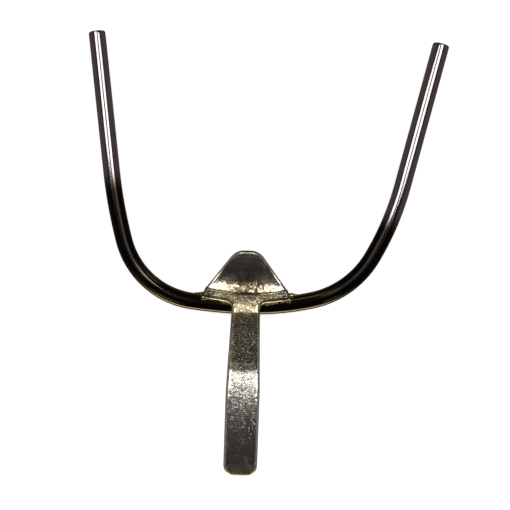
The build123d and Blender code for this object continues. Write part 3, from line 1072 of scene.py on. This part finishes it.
def surroundings():
    """A dim warm room with soft lights that only the metal mirrors, and plain pale light."""
    world = bpy.data.worlds.new("room")
    bpy.context.scene.world = world
    world.use_nodes = True
    world.cycles.sampling_method = "NONE"
    tree = world.node_tree
    direction = add_node(tree, "ShaderNodeTexCoord").outputs["Generated"]
    sideways, ahead, rise = axes(tree, direction)
    sideways = maths(tree, "ABSOLUTE", sideways)
    room = blended(tree, ranged(tree, sideways, *SIDES_START), ROOM_ALONG, ROOM_SIDES)
    room = blended(tree, ranged(tree, rise, *BELOW_STARTS), room, ROOM_BELOW)
    for soft_light in SOFT_LIGHTS:
        room = blended(tree, 1.0, room, softbox(tree, direction, *soft_light), "ADD")
    front = maths(tree, "MULTIPLY", ahead, -1.0)
    level = maths(tree, "ABSOLUTE", maths(tree, "ADD", rise, GOLDEN_STRIP_DROP))
    in_strip = maths(
        tree, "MULTIPLY",
        ranged(tree, level, *GOLDEN_STRIP_EDGES, 1.0, 0.0),
        ranged(tree, front, *GOLDEN_STRIP_ENDS),
    )
    room = blended(tree, 1.0, room, blended(tree, in_strip, BLACK, GOLDEN_STRIP), "ADD")
    path = add_node(tree, "ShaderNodeLightPath")
    mirrored = add_node(tree, "ShaderNodeBackground", {"Color": room})
    plain = add_node(tree, "ShaderNodeBackground", {
        "Color": (1.0, 1.0, 1.0, 1.0), "Strength": PALE_STRENGTH,
    })
    both = add_node(tree, "ShaderNodeMixShader", {
        0: path.outputs["Is Glossy Ray"],
        1: plain.outputs["Background"],
        2: mirrored.outputs["Background"],
    })
    tree.links.new(both.outputs["Shader"], tree.nodes["World Output"].inputs["Surface"])


FLOOR_HALF = 12.0
FLOOR_BASE = (0.4, 0.4, 0.4, 1.0)
FLOOR_GLOW = (1.0, 1.0, 1.0, 1.0)
FLOOR_GLOW_STRENGTH = 0.68  # keeps the pale floor even
LAMPS = (("lamp_left", -1, 14), ("lamp_right", 1, 12))  # name, side, degrees leaned to the tips
LAMP_COLOUR = (1.0, 0.975, 0.94)
SENSOR_WIDTH = 36.0


def pale_floor():
    """The plain pale floor, which the metal doesn't mirror."""
    mesh = bpy.data.meshes.new("floor")
    corners = [(x * FLOOR_HALF, y * FLOOR_HALF, 0) for x, y in ((-1, -1), (1, -1), (1, 1), (-1, 1))]
    mesh.from_pydata(corners, [], [(0, 1, 2, 3)])
    floor = bpy.data.objects.new("floor", mesh)
    bpy.context.scene.collection.objects.link(floor)
    pale, _, shader = finish_material("pale_floor", metallic=0.0, Roughness=0.9)
    shader.inputs["Base Color"].default_value = FLOOR_BASE
    shader.inputs["Emission Color"].default_value = FLOOR_GLOW
    shader.inputs["Emission Strength"].default_value = FLOOR_GLOW_STRENGTH
    mesh.materials.append(pale)
    floor.visible_glossy = False


def add_lamp(stage, aim, name, side, lean):
    """A soft lamp beside the camera, turned to the fork."""
    light = bpy.data.lights.new(name, "AREA")
    light.shape = "RECTANGLE"
    light.size, light.size_y = stage.lamp_width, stage.lamp_length
    light.energy = stage.lamp_power
    light.color = LAMP_COLOUR
    away = Vector((
        side * math.sin(stage.lamp_angle), math.sin(math.radians(lean)), math.cos(stage.lamp_angle)
    )).normalized()
    along = away.cross(Vector((1.0, 0.0, 0.0))).normalized()
    lamp = bpy.data.objects.new(name, light)
    lamp.location = aim + stage.lamp_distance * away
    lamp.rotation_euler = Matrix((along.cross(away), along, away)).transposed().to_euler()
    lamp.visible_camera = False
    bpy.context.scene.collection.objects.link(lamp)


def add_camera(stage, aim):
    """The camera, straight above the fork."""
    data = bpy.data.cameras.new("camera")
    data.sensor_width = SENSOR_WIDTH
    data.lens = data.sensor_width * stage.camera_height / stage.field
    data.clip_start, data.clip_end = 0.01, 100.0
    camera = bpy.data.objects.new("camera", data)
    camera.location = aim + Vector((0, 0, stage.camera_height))
    camera.rotation_euler = (0.0, 0.0, stage.roll)
    bpy.context.scene.collection.objects.link(camera)
    bpy.context.scene.camera = camera


class FRAMEFORK_OT_stage(bpy.types.Operator):
    """Make the floor, lamps, surroundings and camera"""

    bl_idname = "framefork.stage"
    bl_label = "Stage"

    def execute(self, context):
        stage = context.scene.frame_fork_stage
        context.scene.view_settings.view_transform = "Standard"
        pale_floor()
        surroundings()
        aim = Vector((CROSS_X + stage.aim_x, CROSS_Y + stage.aim_y, BAR_D / 2))
        for name, side, lean in LAMPS:
            add_lamp(stage, aim, name, side, lean)
        add_camera(stage, aim)
        return {"FINISHED"}


class FRAMEFORK_PT_panel(bpy.types.Panel):
    """Lists the makers of the pieces and the stage, with their sizes and colours"""

    bl_idname = "FRAMEFORK_PT_panel"
    bl_label = "Frame Fork"
    bl_space_type = "VIEW_3D"
    bl_region_type = "UI"
    bl_category = "Frame Fork"

    def draw(self, context):
        for maker in OPERATORS:
            self.layout.operator(maker.bl_idname)
        for name, group in GROUPS.items():
            box = self.layout.box()
            for label in group.__annotations__:
                box.prop(getattr(context.scene, name), label)


GROUPS = {
    "frame_fork_bar": FrameForkBar,
    "frame_fork_strap": FrameForkStrap,
    "frame_fork_tongue": FrameForkTongue,
    "frame_fork_welds": FrameForkWelds,
    "frame_fork_finish": FrameForkFinish,
    "frame_fork_stage": FrameForkStage,
}
OPERATORS = (
    FRAMEFORK_OT_bar,
    FRAMEFORK_OT_strap,
    FRAMEFORK_OT_tongue,
    FRAMEFORK_OT_welds,
    FRAMEFORK_OT_stage,
)
CLASSES = (*GROUPS.values(), *OPERATORS, FRAMEFORK_PT_panel)


def register():
    """Registers the classes and gives the scene its groups of sizes and colours."""
    for item in CLASSES:
        bpy.utils.register_class(item)
    for name, group in GROUPS.items():
        setattr(bpy.types.Scene, name, PointerProperty(type=group))


def unregister():
    """Takes back what register added."""
    for name in GROUPS:
        delattr(bpy.types.Scene, name)
    for item in reversed(CLASSES):
        bpy.utils.unregister_class(item)


def main():
    """Makes every piece and the stage."""
    register()
    bpy.ops.framefork.bar()
    bpy.ops.framefork.strap()
    bpy.ops.framefork.tongue()
    bpy.ops.framefork.welds()
    bpy.ops.framefork.stage()


if __name__ == "__main__":
    main()
